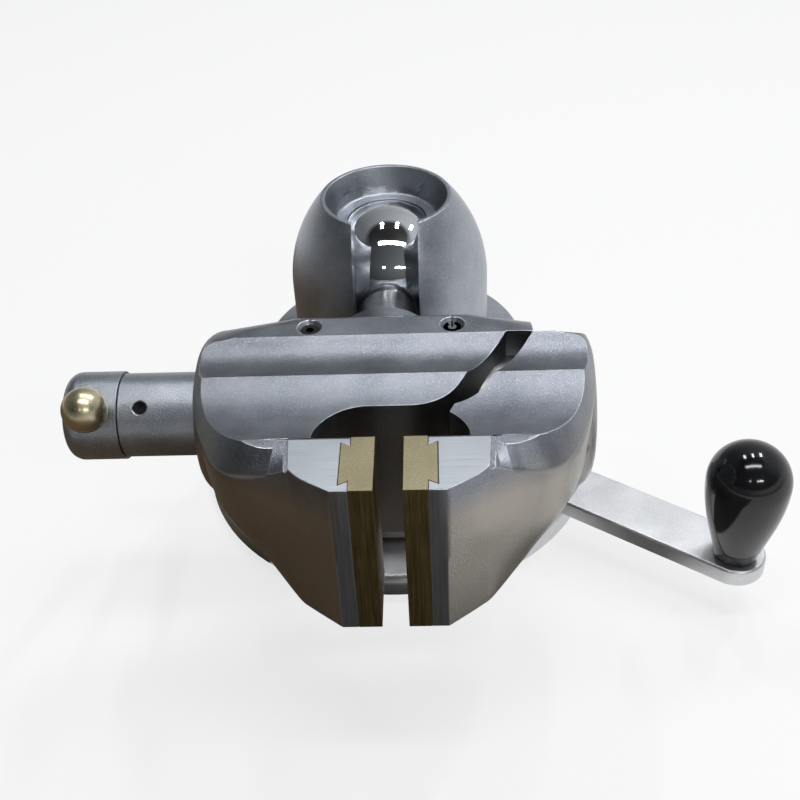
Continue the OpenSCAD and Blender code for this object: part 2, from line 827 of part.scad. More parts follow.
module sleeve() {
    color("lightsteelblue") head_frame() difference() {
        along_x(sleeve_d / 2, sleeve_left, sleeve_right);
        along_x(journal_d / 2, sleeve_left - over, sleeve_right + over);
        sleeve_hole_frame() {
            cylinder(r = sleeve_hole_d / 2 + run_gap, h = sleeve_d);
            translate([0, 0, sleeve_d / 2 - sleeve_hole_bevel])
                cylinder(r1 = sleeve_hole_d / 2, h = sleeve_hole_bevel + over,
                         r2 = sleeve_hole_d / 2 + sleeve_hole_bevel + over);
        }
    }
}

module sleeve_screw() {
    color("dimgray") head_frame() sleeve_hole_frame() difference() {
        translate([0, 0, journal_d / 2 + lift_gap])
            cylinder(d = sleeve_hole_d, h = sleeve_hole_d / 2);
        translate([0, 0, journal_d / 2 + sleeve_hole_d / 2])
            cylinder(d = sleeve_hole_d / 2, h = sleeve_hole_d, $fn = 6);
    }
}

module thrust_bush() {
    color("darkgoldenrod") head_frame() difference() {
        along_x(nut_r, bush_x, bush_x + bush_t);
        along_x(screw_d / 2 + curve_gap, bush_x - over, bush_x + bush_t + over);
    }
}

// Places its children on the moving half, from closed to the rest opening.
module moving_frame() {
    translate([jaw_gap, 0, ball_h]) children();
}

module moving_jaw() {
    color("lightsteelblue") moving_frame() difference() {
        intersection() {
            head_blank();
            translate([0, 0, -top_z - over]) linear_extrude(jaw_w + 2 * over) moving_plan();
        }
        top_hollows();
        along_x(ram_d / 2 + press_gap, 0, ram_right - jaw_gap + run_gap);
        mirror([1, 0, 0]) tail_cut();
        translate([ram_pin_x, ram_y, -top_z - over])
            cylinder(r = ram_pin_d / 2 + press_gap, h = top_z);
    }
}

module moving_insert() {
    color("darkkhaki") moving_frame() mirror([1, 0, 0]) jaw_insert();
}

module moving_insert_key() {
    color("dimgray") moving_frame() mirror([1, 0, 0]) key_screw();
}

module ram() {
    color("silver") head_frame() difference() {
        along_x(ram_d / 2, ram_left, ram_right);
        along_x(ram_bore_d / 2, ram_left - over, ram_right - ram_end_wall);
        along_x(nut_r + press_gap, ram_left - over, ram_left + nut_len);
        translate([ram_pin_x + jaw_gap, ram_y, ram_pin_foot])
            cylinder(r = ram_pin_d / 2 + press_gap, h = ram_pin_depth);
    }
}

module ram_pin() {
    color("silver") head_frame() translate([ram_pin_x + jaw_gap, ram_y, ram_pin_foot])
        cylinder(d = ram_pin_d, h = ram_pin_depth - slide_gap);
}

module ram_nut() {
    color("darkgoldenrod") head_frame() difference() {
        along_x(nut_r, ram_left, ram_left + nut_len);
        along_x(screw_d / 2 + run_gap, ram_left - over, ram_left + nut_len + over);
    }
}

// Turns its children into the frame of the tommy bar: +Z along the bar.
module bar_frame(x) {
    translate([x, ram_y, 0]) rotate([90 - bar_angle, 0, 0]) children();
}

// The frame of the cap's pin, square to the tommy bar.
module pin_frame() {
    translate([cap_pin_x, ram_y, 0]) rotate([-bar_angle, 0, 0]) children();
}

module lead_screw() {
    color("silver") head_frame() difference() {
        union() {
            along_x(spigot_screw_r, cap_left + cap_round, cap_right + curve_gap * 2);
            along_x(journal_d / 2 - run_gap, cap_right + curve_gap * 2, sleeve_right - curve_gap);
            along_x(screw_d / 2, sleeve_right - curve_gap, thread_end);
        }
        bar_frame(bar_x) cylinder(r = bar_d / 2 + run_gap, h = cap_d, center = true);
        pin_frame() cylinder(r = cap_pin_d / 2 + press_gap, h = cap_d, center = true);
    }
}

module screw_collar() {
    color("gray") head_frame() difference() {
        along_x(collar_r, collar_x, collar_x + collar_t);
        along_x(screw_d / 2 + press_gap, collar_x - over, collar_x + collar_t + over);
    }
}

module end_cap() {
    cap_r = cap_d / 2;
    color("lightsteelblue") head_frame() difference() {
        translate([cap_right, ram_y, 0]) rotate([0, -90, 0]) rotate_extrude($fn = 120)
            polygon(concat([[0, 0], [cap_r, 0]],
                arc([cap_r - cap_round, cap_len - cap_round], cap_round, 0, 90),
                [[0, cap_len]]));
        along_x(spigot_screw_r + press_gap, cap_left + cap_round, cap_right + over);
        bar_frame(bar_x) cylinder(r = bar_d / 2 + run_gap, h = 2 * cap_d, center = true);
        pin_frame() cylinder(r = cap_pin_d / 2 + press_gap, h = 2 * cap_d, center = true);
    }
}

module cap_pin() {
    len = 2 * (cap_d / 2 - arm_bevel);
    color("silver") head_frame() pin_frame()
        cylinder(d = cap_pin_d, h = len, center = true);
}

module tommy_bar() {
    color("silver") head_frame() bar_frame(bar_x)
        translate([0, 0, -bar_back - bar_seat])
            cylinder(d = bar_d, h = bar_back + bar_front + 2 * bar_seat);
}

module tommy_balls() {
    color("goldenrod") head_frame() bar_frame(bar_x)
        for (s = [[bar_front, 0], [-bar_back, 180]]) translate([0, 0, s[0]])
            rotate([s[1], 0, 0]) difference() {
                sphere(d = bar_ball_d, $fn = 96);
                translate([0, 0, -bar_ball_d])
                    cylinder(r = bar_d / 2 + press_gap, h = bar_ball_d + bar_seat + press_gap);
            }
}

base_plate();
plate_screws();
thrust_washer();
pedestal();
socket_housing();
housing_screws();
clamp_ring();
crank_arm();
arm_screws();
knob_spindle();
crank_knob();
push_pins();
pressure_plate();
pressure_cup();
ball();
stem();
fixed_jaw();
ledge_set_screws();
fixed_insert();
fixed_insert_key();
sleeve();
sleeve_screw();
thrust_bush();
moving_jaw();
moving_insert();
moving_insert_key();
ram();
ram_pin();
ram_nut();
lead_screw();
screw_collar();
end_cap();
cap_pin();
tommy_bar();
tommy_balls();
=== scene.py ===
# %% [markdown]
# # A ball vise
#
# A bench vise for small work. Two half heads close on a workpiece, and the
# head's stem ends in a polished ball that sits in a slotted steel housing, so
# that the work can be tilted and rolled. This notebook dresses the packed
# model of that vise: it adds a camera, a studio, finishes and finer pieces.

# %% Load the model
import json
import math

import bmesh
import bpy
from mathutils import Matrix, Vector


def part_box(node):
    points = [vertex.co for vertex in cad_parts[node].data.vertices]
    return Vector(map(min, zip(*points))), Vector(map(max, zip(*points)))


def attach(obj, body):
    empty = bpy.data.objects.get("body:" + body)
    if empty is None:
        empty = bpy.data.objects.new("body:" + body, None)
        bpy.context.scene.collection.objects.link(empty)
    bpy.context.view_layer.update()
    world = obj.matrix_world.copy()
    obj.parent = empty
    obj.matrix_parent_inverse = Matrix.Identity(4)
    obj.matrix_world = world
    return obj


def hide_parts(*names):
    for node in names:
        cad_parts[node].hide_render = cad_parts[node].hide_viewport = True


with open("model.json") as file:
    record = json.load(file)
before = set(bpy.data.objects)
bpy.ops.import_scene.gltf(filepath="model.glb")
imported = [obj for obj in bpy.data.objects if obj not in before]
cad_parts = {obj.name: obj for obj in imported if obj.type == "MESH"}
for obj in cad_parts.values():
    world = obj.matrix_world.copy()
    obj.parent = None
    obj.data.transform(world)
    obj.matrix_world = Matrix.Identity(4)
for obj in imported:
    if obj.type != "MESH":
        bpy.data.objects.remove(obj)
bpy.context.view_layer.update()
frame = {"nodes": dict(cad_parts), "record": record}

# %% [markdown]
# ## The camera
#
# The photograph looks down on the vise from the front with a short lens. The
# eye's place, tilt and lens below were worked out from parts that must be
# round or upright: the ball, the base plate, the rim and the knob. Setting the
# camera's matrix from its three directions keeps all of them together, where
# a chain of angles would be easy to get wrong.

# %% Camera
MM = 0.001
BALL_HEIGHT = 130 * MM
EYE_FROM_BALL = Vector((26.7, -527.6, 331.95)) * MM
PITCH, YAW, ROLL = math.radians(38.43), math.radians(-2.69), math.radians(-2.92)
SENSOR = 36.0
FOCAL_PIXELS, IMAGE_PIXELS = 1168.74, 800


def add_camera():
    """The camera at the photograph's place, looking the photograph's way."""
    level = Vector((math.sin(YAW), math.cos(YAW), 0))
    side = Vector((math.cos(YAW), -math.sin(YAW), 0))
    up = Vector((0, 0, 1))
    ahead = level * math.cos(PITCH) - up * math.sin(PITCH)
    head_up = up * math.cos(PITCH) + level * math.sin(PITCH)
    right = side * math.cos(ROLL) + head_up * math.sin(ROLL)
    top = head_up * math.cos(ROLL) - side * math.sin(ROLL)
    data = bpy.data.cameras.new("camera")
    data.sensor_width = SENSOR
    data.lens = SENSOR * FOCAL_PIXELS / IMAGE_PIXELS
    data.clip_start, data.clip_end = 0.01, 50
    camera = bpy.data.objects.new("camera", data)
    turn = Matrix((right, top, -ahead)).transposed().to_4x4()
    place = Vector((0, 0, BALL_HEIGHT)) + EYE_FROM_BALL
    camera.matrix_world = Matrix.Translation(place) @ turn
    bpy.context.scene.collection.objects.link(camera)
    bpy.context.scene.camera = camera
    return camera


camera = add_camera()
print("lens", round(camera.data.lens, 1), "mm")

# %% [markdown]
# ## The studio
#
# Bare steel shows mostly what it reflects, so the room matters as much as the
# metal. Large square lamps would show in the ball as white squares. This room
# has what a workshop has instead: pale walls low down behind the vise, a darker
# ceiling, and a few narrow lamps hanging in it. The world's colour is mixed from
# the height and the side of each direction, which needs no picture of a room.
# Dark cards on the floor, out of the camera's sight, give the metal a dark side,
# as photographers do.

# %% Floor
FLOOR_SIZE = 14.0
WHITE = (1.0, 1.0, 1.0, 1)


def link_object(name, mesh):
    """A new object that holds the mesh, at the origin."""
    piece = bpy.data.objects.new(name, mesh)
    bpy.context.scene.collection.objects.link(piece)
    return piece


def new_material(name):
    """A material, its node tree and its Principled shader."""
    material = bpy.data.materials.new(name)
    material.use_nodes = True
    return material, material.node_tree, material.node_tree.nodes["Principled BSDF"]


def seen_rays(tree):
    """One where the camera, metal or glass looks, and none for plain light."""
    path = tree.nodes.new("ShaderNodeLightPath")
    total = path.outputs["Is Camera Ray"]
    for ray in ("Is Glossy Ray", "Is Transmission Ray"):
        either = tree.nodes.new("ShaderNodeMath")
        either.operation = "MAXIMUM"
        tree.links.new(total, either.inputs[0])
        tree.links.new(path.outputs[ray], either.inputs[1])
        total = either.outputs[0]
    return total


def add_floor():
    """A white floor that keeps the soft shadow of the vise."""
    bm = bmesh.new()
    bmesh.ops.create_grid(bm, x_segments=1, y_segments=1, size=FLOOR_SIZE / 2)
    mesh = bpy.data.meshes.new("floor")
    bm.to_mesh(mesh)
    bm.free()
    floor = link_object("floor", mesh)
    material, tree, shader = new_material("floor_paper")
    shader.inputs["Base Color"].default_value = (0.9, 0.9, 0.9, 1)
    shader.inputs["Roughness"].default_value = 0.9
    glow = tree.nodes.new("ShaderNodeEmission")
    glow.inputs["Color"].default_value = WHITE
    share = tree.nodes.new("ShaderNodeMath")
    share.operation = "MULTIPLY"
    share.inputs[1].default_value = 0.72
    tree.links.new(seen_rays(tree), share.inputs[0])
    mix = tree.nodes.new("ShaderNodeMixShader")
    tree.links.new(share.outputs[0], mix.inputs[0])
    tree.links.new(shader.outputs[0], mix.inputs[1])
    tree.links.new(glow.outputs[0], mix.inputs[2])
    tree.links.new(mix.outputs[0], tree.nodes["Material Output"].inputs["Surface"])
    mesh.materials.append(material)


# Name, span in X, span in Y and colour of each card, in metres.
CARDS = [
    ("left_card", (-2.2, -0.07), (-0.9, 0.3), (0.15, 0.108, 0.072, 1)),
    ("front_card", (-0.07, 0.13), (-0.75, -0.1), (0.13, 0.12, 0.11, 1)),
]


def add_card(name, across, along, colour):
    """A dark card on the floor that only the metal sees."""
    bm = bmesh.new()
    bmesh.ops.create_grid(bm, x_segments=1, y_segments=1, size=0.5)
    size = Vector((across[1] - across[0], along[1] - along[0], 1))
    spot = Vector((sum(across) / 2, sum(along) / 2, 0.6 * MM))
    bmesh.ops.scale(bm, vec=size, verts=bm.verts)
    bmesh.ops.translate(bm, vec=spot, verts=bm.verts)
    mesh = bpy.data.meshes.new(name)
    bm.to_mesh(mesh)
    bm.free()
    card = link_object(name, mesh)
    material, tree, shader = new_material(name)
    shader.inputs["Base Color"].default_value = colour
    shader.inputs["Roughness"].default_value = 0.9
    mesh.materials.append(material)
    card.visible_camera = card.visible_diffuse = card.visible_shadow = False


add_floor()
for card in CARDS:
    add_card(*card)
print("floor", FLOOR_SIZE, "m, cards", len(CARDS))

# %% World
def add_ramp(tree, source, stops):
    """A colour ramp on a value; stops are (place, colour)."""
    ramp = tree.nodes.new("ShaderNodeValToRGB")
    tree.links.new(source, ramp.inputs[0])
    elements = ramp.color_ramp.elements
    elements[0].position, elements[0].color = stops[0]
    elements[1].position, elements[1].color = stops[-1]
    for place, colour in stops[1:-1]:
        elements.new(place).color = colour
    return ramp


def add_range(tree, source, low, high, from_low=0.0, from_high=1.0):
    """Maps a value from one span to another, without leaving it."""
    span = tree.nodes.new("ShaderNodeMapRange")
    tree.links.new(source, span.inputs["Value"])
    span.inputs["From Min"].default_value = from_low
    span.inputs["From Max"].default_value = from_high
    span.inputs["To Min"].default_value = low
    span.inputs["To Max"].default_value = high
    return span


def grey(value, warm=0.0):
    """A grey, a little warmer or cooler."""
    return (value * (1 + warm), value, value * (1 - warm), 1)


# Colours by height, from the floor (0) to straight above (1), on either side.
BACK_STOPS = [(0.0, grey(0.8)), (0.3, grey(0.6, -0.02)), (0.55, grey(0.48, -0.05)),
              (0.84, grey(0.52, -0.07)), (0.9, grey(0.05)), (1.0, grey(0.04))]
FRONT_STOPS = [(0.0, grey(0.2, 0.1)), (0.12, grey(0.7)), (0.24, grey(0.65)),
               (0.32, grey(0.1)), (0.6, grey(0.16, -0.06)), (0.95, grey(0.12, -0.06)),
               (1.0, grey(0.04))]


def add_world():
    """Pale walls behind the vise, a window in front and a dark ceiling."""
    world = bpy.data.worlds.new("studio")
    bpy.context.scene.world = world
    world.use_nodes = True
    tree = world.node_tree
    back = tree.nodes["Background"]
    place = tree.nodes.new("ShaderNodeTexCoord")
    split = tree.nodes.new("ShaderNodeSeparateXYZ")
    tree.links.new(place.outputs["Generated"], split.inputs[0])
    behind = add_ramp(tree, split.outputs["Z"], BACK_STOPS)
    ahead = add_ramp(tree, split.outputs["Z"], FRONT_STOPS)
    side = add_range(tree, split.outputs["Y"], 0.0, 1.0, -0.35, 0.15)
    mix = tree.nodes.new("ShaderNodeMix")
    mix.data_type = "RGBA"
    tree.links.new(side.outputs[0], mix.inputs[0])
    tree.links.new(ahead.outputs[0], mix.inputs[6])
    tree.links.new(behind.outputs[0], mix.inputs[7])
    shade = add_range(tree, split.outputs["X"], 0.3, 1.1, -0.5, 0.4)
    tree.links.new(mix.outputs[2], back.inputs["Color"])
    tree.links.new(shade.outputs[0], back.inputs["Strength"])


add_world()
print("world", len(BACK_STOPS), "stops behind,", len(FRONT_STOPS), "ahead")

# %% Lamps
# Name, place, width from side to side, length away from the viewer and power.
LAMPS = [
    ("left_tube", (-0.26, 0.69, 1.93), 0.11, 0.4, 5.0),
    ("middle_tube", (0.37, 0.71, 1.93), 0.11, 0.4, 5.0),
    ("right_tube", (1.05, 0.9, 1.93), 0.11, 0.4, 8.0),
    ("long_tube", (0.19, -0.37, 1.93), 1.32, 0.2, 13.0),
    ("front_tube", (0.67, -1.56, 1.37), 0.55, 0.08, 5.0),
    ("front_lamp", (-0.24, -1.6, 1.43), 0.12, 0.08, 1.0),
]


def add_lamp(name, place, width, length, power):
    """A narrow lamp that looks at the vise, its length towards the viewer."""
    data = bpy.data.lights.new(name, "AREA")
    data.shape = "RECTANGLE"
    data.size, data.size_y = width, length
    data.energy = power
    lamp = bpy.data.objects.new(name, data)
    back = (Vector(place) - Vector((0, -0.08, 0.1))).normalized()
    across = (Vector((1, 0, 0)) - back * back.x).normalized()
    turn = Matrix((across, back.cross(across), back)).transposed().to_4x4()
    lamp.matrix_world = Matrix.Translation(place) @ turn
    bpy.context.scene.collection.objects.link(lamp)


for lamp in LAMPS:
    add_lamp(*lamp)
print("lamps", len(LAMPS))

# %% [markdown]
# ## Shared effects
#
# The steel castings are bead blasted, which leaves a fine even grain of small
# dents, with slow clouds of lighter and darker metal. Turned and milled faces
# carry thin lines along the cut instead. Each effect is a node group that puts
# out plain masks, so that every finish can give it its own sizes.

# %% Grain and line groups
def new_group(name, inputs, outputs):
    """An empty node group with the named sockets, and its two end nodes."""
    group = bpy.data.node_groups.new(name, "ShaderNodeTree")
    for label, kind, value in inputs:
        socket = group.interface.new_socket(label, in_out="INPUT", socket_type=kind)
        if value is not None:
            socket.default_value = value
    for label, kind in outputs:
        group.interface.new_socket(label, in_out="OUTPUT", socket_type=kind)
    return group, group.nodes.new("NodeGroupInput"), group.nodes.new("NodeGroupOutput")


def add_noise(tree, vector, scale, detail, roughness):
    """A noise texture; the scale may be a number or a socket."""
    noise = tree.nodes.new("ShaderNodeTexNoise")
    noise.inputs["Detail"].default_value = detail
    noise.inputs["Roughness"].default_value = roughness
    tree.links.new(vector, noise.inputs["Vector"])
    if isinstance(scale, float):
        noise.inputs["Scale"].default_value = scale
    else:
        tree.links.new(scale, noise.inputs["Scale"])
    return noise.outputs["Fac"]


def make_grain_group():
    """Blasted grain: its height, bright specks and a slow mottling."""
    group, start, end = new_group(
        "blasted_grain",
        [("Scale", "NodeSocketFloat", 1500.0), ("Cloud", "NodeSocketFloat", 38.0)],
        [("Height", "NodeSocketFloat"), ("Specks", "NodeSocketFloat"),
         ("Mottle", "NodeSocketFloat")],
    )
    place = group.nodes.new("ShaderNodeTexCoord")
    fine = add_noise(group, place.outputs["Object"], start.outputs["Scale"], 2.0, 0.6)
    cloud = add_noise(group, place.outputs["Object"], start.outputs["Cloud"], 4.0, 0.65)
    specks = add_range(group, fine, 0.0, 1.0, 0.56, 0.72)
    group.links.new(fine, end.inputs["Height"])
    group.links.new(specks.outputs[0], end.inputs["Specks"])
    group.links.new(cloud, end.inputs["Mottle"])
    return group


def make_line_group():
    """Lines of a cutter: noise that is stretched along the cut."""
    group, start, end = new_group(
        "cutter_lines",
        [("Stretch", "NodeSocketVector", (1.0, 1.0, 1.0)), ("Scale", "NodeSocketFloat", 900.0)],
        [("Height", "NodeSocketFloat"), ("Mottle", "NodeSocketFloat")],
    )
    place = group.nodes.new("ShaderNodeTexCoord")
    scale = group.nodes.new("ShaderNodeVectorMath")
    scale.operation = "MULTIPLY"
    group.links.new(place.outputs["Object"], scale.inputs[0])
    group.links.new(start.outputs["Stretch"], scale.inputs[1])
    lines = add_noise(group, scale.outputs[0], start.outputs["Scale"], 3.0, 0.6)
    cloud = add_noise(group, place.outputs["Object"], 70.0, 3.0, 0.6)
    group.links.new(lines, end.inputs["Height"])
    group.links.new(cloud, end.inputs["Mottle"])
    return group


def use_group(tree, group, **values):
    """Places a node group in a material, with its input values."""
    node = tree.nodes.new("ShaderNodeGroup")
    node.node_tree = group
    for label, value in values.items():
        node.inputs[label].default_value = value
    return node


def mix_colours(tree, factor, first, second):
    """Mixes two colours, or sockets with colours, by a mask."""
    mix = tree.nodes.new("ShaderNodeMix")
    mix.data_type = "RGBA"
    tree.links.new(factor, mix.inputs[0])
    for socket, value in ((6, first), (7, second)):
        if isinstance(value, tuple):
            mix.inputs[socket].default_value = value
        else:
            tree.links.new(value, mix.inputs[socket])
    return mix.outputs[2]


def add_bump(tree, shader, height, strength, distance):
    """A bump from a height to the shader's normal."""
    bump = tree.nodes.new("ShaderNodeBump")
    bump.inputs["Strength"].default_value = strength
    bump.inputs["Distance"].default_value = distance
    tree.links.new(height, bump.inputs["Height"])
    tree.links.new(bump.outputs[0], shader.inputs["Normal"])
    return bump


grain_group = make_grain_group()
line_group = make_line_group()
print("groups", [g.name for g in (grain_group, line_group)])

# %% [markdown]
# ## Blasted steel
#
# The head, the housing and the base share one finish: a satin blue-grey whose
# grain sparkles a little where a lamp meets it. It could be one flat grey with
# some roughness, but then the large faces look like plastic. Mottled colour and
# roughness and a fine bump make it read as metal.

# %% Blasted steel
# Where the painted reflection on the flanks fades, in metres: upwards, and rearwards.
FLANK_REFLECTION_HEIGHTS, FLANK_REFLECTION_DEPTHS = (0.15, 0.164), (-0.17, -0.11)


def flank_reflection_mask(tree):
    """One low on the head's flanks, fading out to its top and its rear, for a painted reflection.
    """
    place = tree.nodes.new("ShaderNodeTexCoord")
    split = tree.nodes.new("ShaderNodeSeparateXYZ")
    tree.links.new(place.outputs["Object"], split.inputs[0])
    low = add_range(tree, split.outputs["Z"], 1.0, 0.0, *FLANK_REFLECTION_HEIGHTS)
    ahead = add_range(tree, split.outputs["Y"], 1.0, 0.0, *FLANK_REFLECTION_DEPTHS)
    both = tree.nodes.new("ShaderNodeMath")
    both.operation = "MULTIPLY"
    tree.links.new(low.outputs[0], both.inputs[0])
    tree.links.new(ahead.outputs[0], both.inputs[1])
    return both.outputs[0]


def blasted_steel(name, dark, light, rough, bump, flank_reflection=None):
    """Bead-blasted steel: fine grain, slow mottling, soft sheen, any painted flank reflection."""
    material, tree, shader = new_material(name)
    grain = use_group(tree, grain_group)
    cloudy = add_ramp(tree, grain.outputs["Mottle"], [(0.32, dark), (0.68, light)])
    bright_speck = tuple(min(1.0, 1.8 * c) for c in light[:3]) + (1,)
    speckled = tree.nodes.new("ShaderNodeMath")
    speckled.operation = "MULTIPLY"
    speckled.inputs[1].default_value = 0.45
    tree.links.new(grain.outputs["Specks"], speckled.inputs[0])
    colour = mix_colours(tree, speckled.outputs[0], cloudy.outputs[0], bright_speck)
    # A lighter, warmer colour low on the front flanks: a painted reflection of a brown bench.
    if flank_reflection is not None:
        colour = mix_colours(tree, flank_reflection_mask(tree), colour, flank_reflection)
    tree.links.new(colour, shader.inputs["Base Color"])
    spread = add_range(tree, grain.outputs["Mottle"], rough - 0.05, rough + 0.07, 0.3, 0.7)
    tree.links.new(spread.outputs[0], shader.inputs["Roughness"])
    shader.inputs["Metallic"].default_value = 1.0
    add_bump(tree, shader, grain.outputs["Height"], bump, 0.0003)
    return material


# The head's steel carries a painted warm reflection low on its flanks.
head_steel = blasted_steel("head_steel", (0.17, 0.184, 0.21, 1), (0.26, 0.277, 0.308, 1),
                           0.34, 0.5, (0.36, 0.335, 0.3, 1))
housing_steel = blasted_steel("housing_steel", (0.28, 0.302, 0.34, 1), (0.41, 0.438, 0.485, 1),
                              0.32, 0.6)
base_steel = blasted_steel("base_steel", (0.58, 0.585, 0.6, 1), (0.7, 0.705, 0.72, 1), 0.42, 0.25)
print("steels", head_steel.name, housing_steel.name, base_steel.name)

# %% [markdown]
# ## Cut metal, brass and plastic
#
# Turned, milled and ground faces differ in colour, in the way their lines run
# and in how fine they are, so one helper makes them all. A pattern that changes
# fast along one axis and hardly at all across it gives rings round that axis on
# a turned bar, and straight lines on a milled face.

# %% Cut metals
def cut_metal(name, dark, light, stretch, rough, bump=0.25, scale=900.0):
    """Metal with the fine lines of a cutter."""
    material, tree, shader = new_material(name)
    lines = use_group(tree, line_group, Stretch=stretch, Scale=scale)
    lined = add_ramp(tree, lines.outputs["Height"], [(0.32, dark), (0.68, light)])
    clouded = add_range(tree, lines.outputs["Mottle"], 0.0, 0.45, 0.35, 0.7)
    colour = mix_colours(tree, clouded.outputs[0], lined.outputs[0], dark)
    tree.links.new(colour, shader.inputs["Base Color"])
    spread = add_range(tree, lines.outputs["Height"], rough * 0.8, rough * 1.3)
    tree.links.new(spread.outputs[0], shader.inputs["Roughness"])
    shader.inputs["Metallic"].default_value = 1.0
    add_bump(tree, shader, lines.outputs["Height"], bump, 0.0001)
    return material


LINES_ALONG_X, RINGS_ROUND_X = (0.03, 1, 1), (1, 0.05, 0.05)
RINGS_ROUND_Y, UPRIGHT_LINES = (0.05, 1, 0.05), (1, 1, 0.03)
EVEN = (1, 1, 1)
milled = cut_metal("milled_steel", (0.47, 0.5, 0.54, 1), (0.57, 0.6, 0.64, 1), LINES_ALONG_X, 0.38,
                   0.3, 1500.0)
# Lighter steel for the head's bevelled edges: filed edges, and a painted highlight along them.
edge_steel = cut_metal("edge_steel", (0.34, 0.355, 0.38, 1), (0.46, 0.475, 0.5, 1), EVEN, 0.36)
turned_x = cut_metal("turned_steel", (0.5, 0.505, 0.52, 1), (0.64, 0.645, 0.66, 1),
                     RINGS_ROUND_X, 0.24)
turned_y = cut_metal("turned_stem", (0.22, 0.225, 0.24, 1), (0.33, 0.335, 0.35, 1),
                     RINGS_ROUND_Y, 0.3, 0.4)
brass = cut_metal("milled_brass", (0.09, 0.068, 0.026, 1), (0.21, 0.165, 0.075, 1),
                  UPRIGHT_LINES, 0.45, 0.6, 1500.0)
# A lighter copy of the brass for faces that look up: painted light on the inserts' tops.
lit_top_brass = cut_metal("brass_painted_lit_top", (0.25, 0.22, 0.135, 1), (0.43, 0.385, 0.26, 1), EVEN, 0.48, 0.6,
                      1500.0)
# A darker copy of the milled steel, with upright cutter lines: its darkness is painted shade.
shaded_milled_front = cut_metal("shaded_milled_front", (0.2, 0.21, 0.23, 1), (0.28, 0.29, 0.31, 1),
                         UPRIGHT_LINES, 0.36)
ball_brass = cut_metal("polished_brass", (0.52, 0.46, 0.3, 1), (0.64, 0.58, 0.4, 1),
                       EVEN, 0.3, 0.1)
ram_steel = cut_metal("ground_ram", (0.26, 0.255, 0.25, 1), (0.36, 0.355, 0.35, 1),
                      RINGS_ROUND_X, 0.38)
chrome = cut_metal("polished_ball", (0.74, 0.75, 0.77, 1), (0.8, 0.81, 0.82, 1), EVEN, 0.035, 0.0)
black_steel = cut_metal("black_oxide", (0.02, 0.02, 0.022, 1), (0.05, 0.05, 0.052, 1), EVEN, 0.4)
print("cut metals", milled.name, edge_steel.name, brass.name)

# %% Glossy plastic
def glossy_plastic():
    """Black moulded plastic with a clear gloss and faint dust."""
    material, tree, shader = new_material("black_plastic")
    grain = use_group(tree, grain_group, Scale=1400.0, Cloud=90.0)
    colour = add_ramp(tree, grain.outputs["Mottle"],
                      [(0.35, (0.003, 0.003, 0.004, 1)), (0.75, (0.008, 0.008, 0.01, 1))])
    tree.links.new(colour.outputs[0], shader.inputs["Base Color"])
    rough = add_range(tree, grain.outputs["Mottle"], 0.07, 0.16)
    tree.links.new(rough.outputs[0], shader.inputs["Roughness"])
    return material


plastic = glossy_plastic()
FINISHES = {
    "blasted_steel": base_steel, "bright_steel": turned_x, "brass": brass,
    "polished_chrome": chrome, "black_plastic": plastic, "black_steel": black_steel,
}
OWN_FINISHES = {
    "tommy_balls": ball_brass, "stem": turned_y, "socket_housing": housing_steel,
    "pedestal": housing_steel, "fixed_jaw": head_steel, "moving_jaw": head_steel,
    "sleeve": housing_steel, "end_cap": housing_steel, "ram": ram_steel,
}
for part in frame["record"]["subparts"]:
    node = frame["nodes"][part["node"]]
    finish = OWN_FINISHES.get(part["node"], FINISHES[part["material_slot"]])
    node.data.materials.clear()
    node.data.materials.append(finish)

# %% [markdown]
# ## Softened edges
#
# No real edge is razor sharp: each part here was broken with a file or by the
# blasting, and those narrow bands catch the light. A copy of each large part is
# joined up from its loose triangles, and its sharp edges are bevelled. Modelling
# each part again would give the same shape with more work, and a bevel node in
# the material would be lost in an export.

# %% Refine the large parts
BODY_OF = {node: body for body, nodes in frame["record"]["behaviour"]["bodies"].items()
           for node in nodes}


def soften(bm, width, sharp_angle):
    """Bevels the edges that stick out sharply; gives the edges and the new faces."""
    sharp = [e for e in bm.edges if e.is_manifold and e.is_convex
             and e.calc_face_angle() > math.radians(sharp_angle)]
    rounded = bmesh.ops.bevel(bm, geom=sharp, offset=width, offset_type="OFFSET", segments=2,
                              profile=0.5, affect="EDGES", material=-1, clamp_overlap=False)
    return sharp, rounded["faces"]


def refine(node, width, sharp_angle=24.0):
    """A copy of a part with rounded edges, which stands for that part."""
    bm = bmesh.new()
    bm.from_mesh(frame["nodes"][node].data)
    bmesh.ops.remove_doubles(bm, verts=bm.verts, dist=0.004 * MM)
    sharp, _ = soften(bm, width, sharp_angle)
    for face in bm.faces:
        face.smooth = True
        face.material_index = 0
    mesh = bpy.data.meshes.new(node + "_dressed")
    bm.to_mesh(mesh)
    bm.free()
    mesh.set_sharp_from_angle(angle=math.radians(35))
    mesh.materials.append(frame["nodes"][node].data.materials[0])
    piece = link_object(node + "_dressed", mesh)
    even = piece.modifiers.new("even_normals", "WEIGHTED_NORMAL")
    even.keep_sharp = True
    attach(piece, BODY_OF[node])
    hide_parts(node)
    print(node, "edges", len(sharp), "faces", len(mesh.polygons))
    return piece


SOFT_EDGES = {
    "socket_housing": 0.4, "sleeve": 0.25, "end_cap": 0.25, "crank_arm": 0.3,
    "base_plate": 0.3, "clamp_ring": 0.3, "pedestal": 0.3, "ram": 0.3, "stem": 0.2,
    "fixed_insert": 0.2, "moving_insert": 0.2, "tommy_bar": 0.2,
}
dressed = {node: refine(node, width * MM) for node, width in SOFT_EDGES.items()}


def paint_lit_top(piece, finish):
    """Gives the faces that look straight up a lighter brass: painted light on the top."""
    piece.data.materials.append(finish)
    for face in piece.data.polygons:
        if face.normal.z > 0.99:
            face.material_index = len(piece.data.materials) - 1


for node in ("fixed_insert", "moving_insert"):
    paint_lit_top(dressed[node], lit_top_brass)

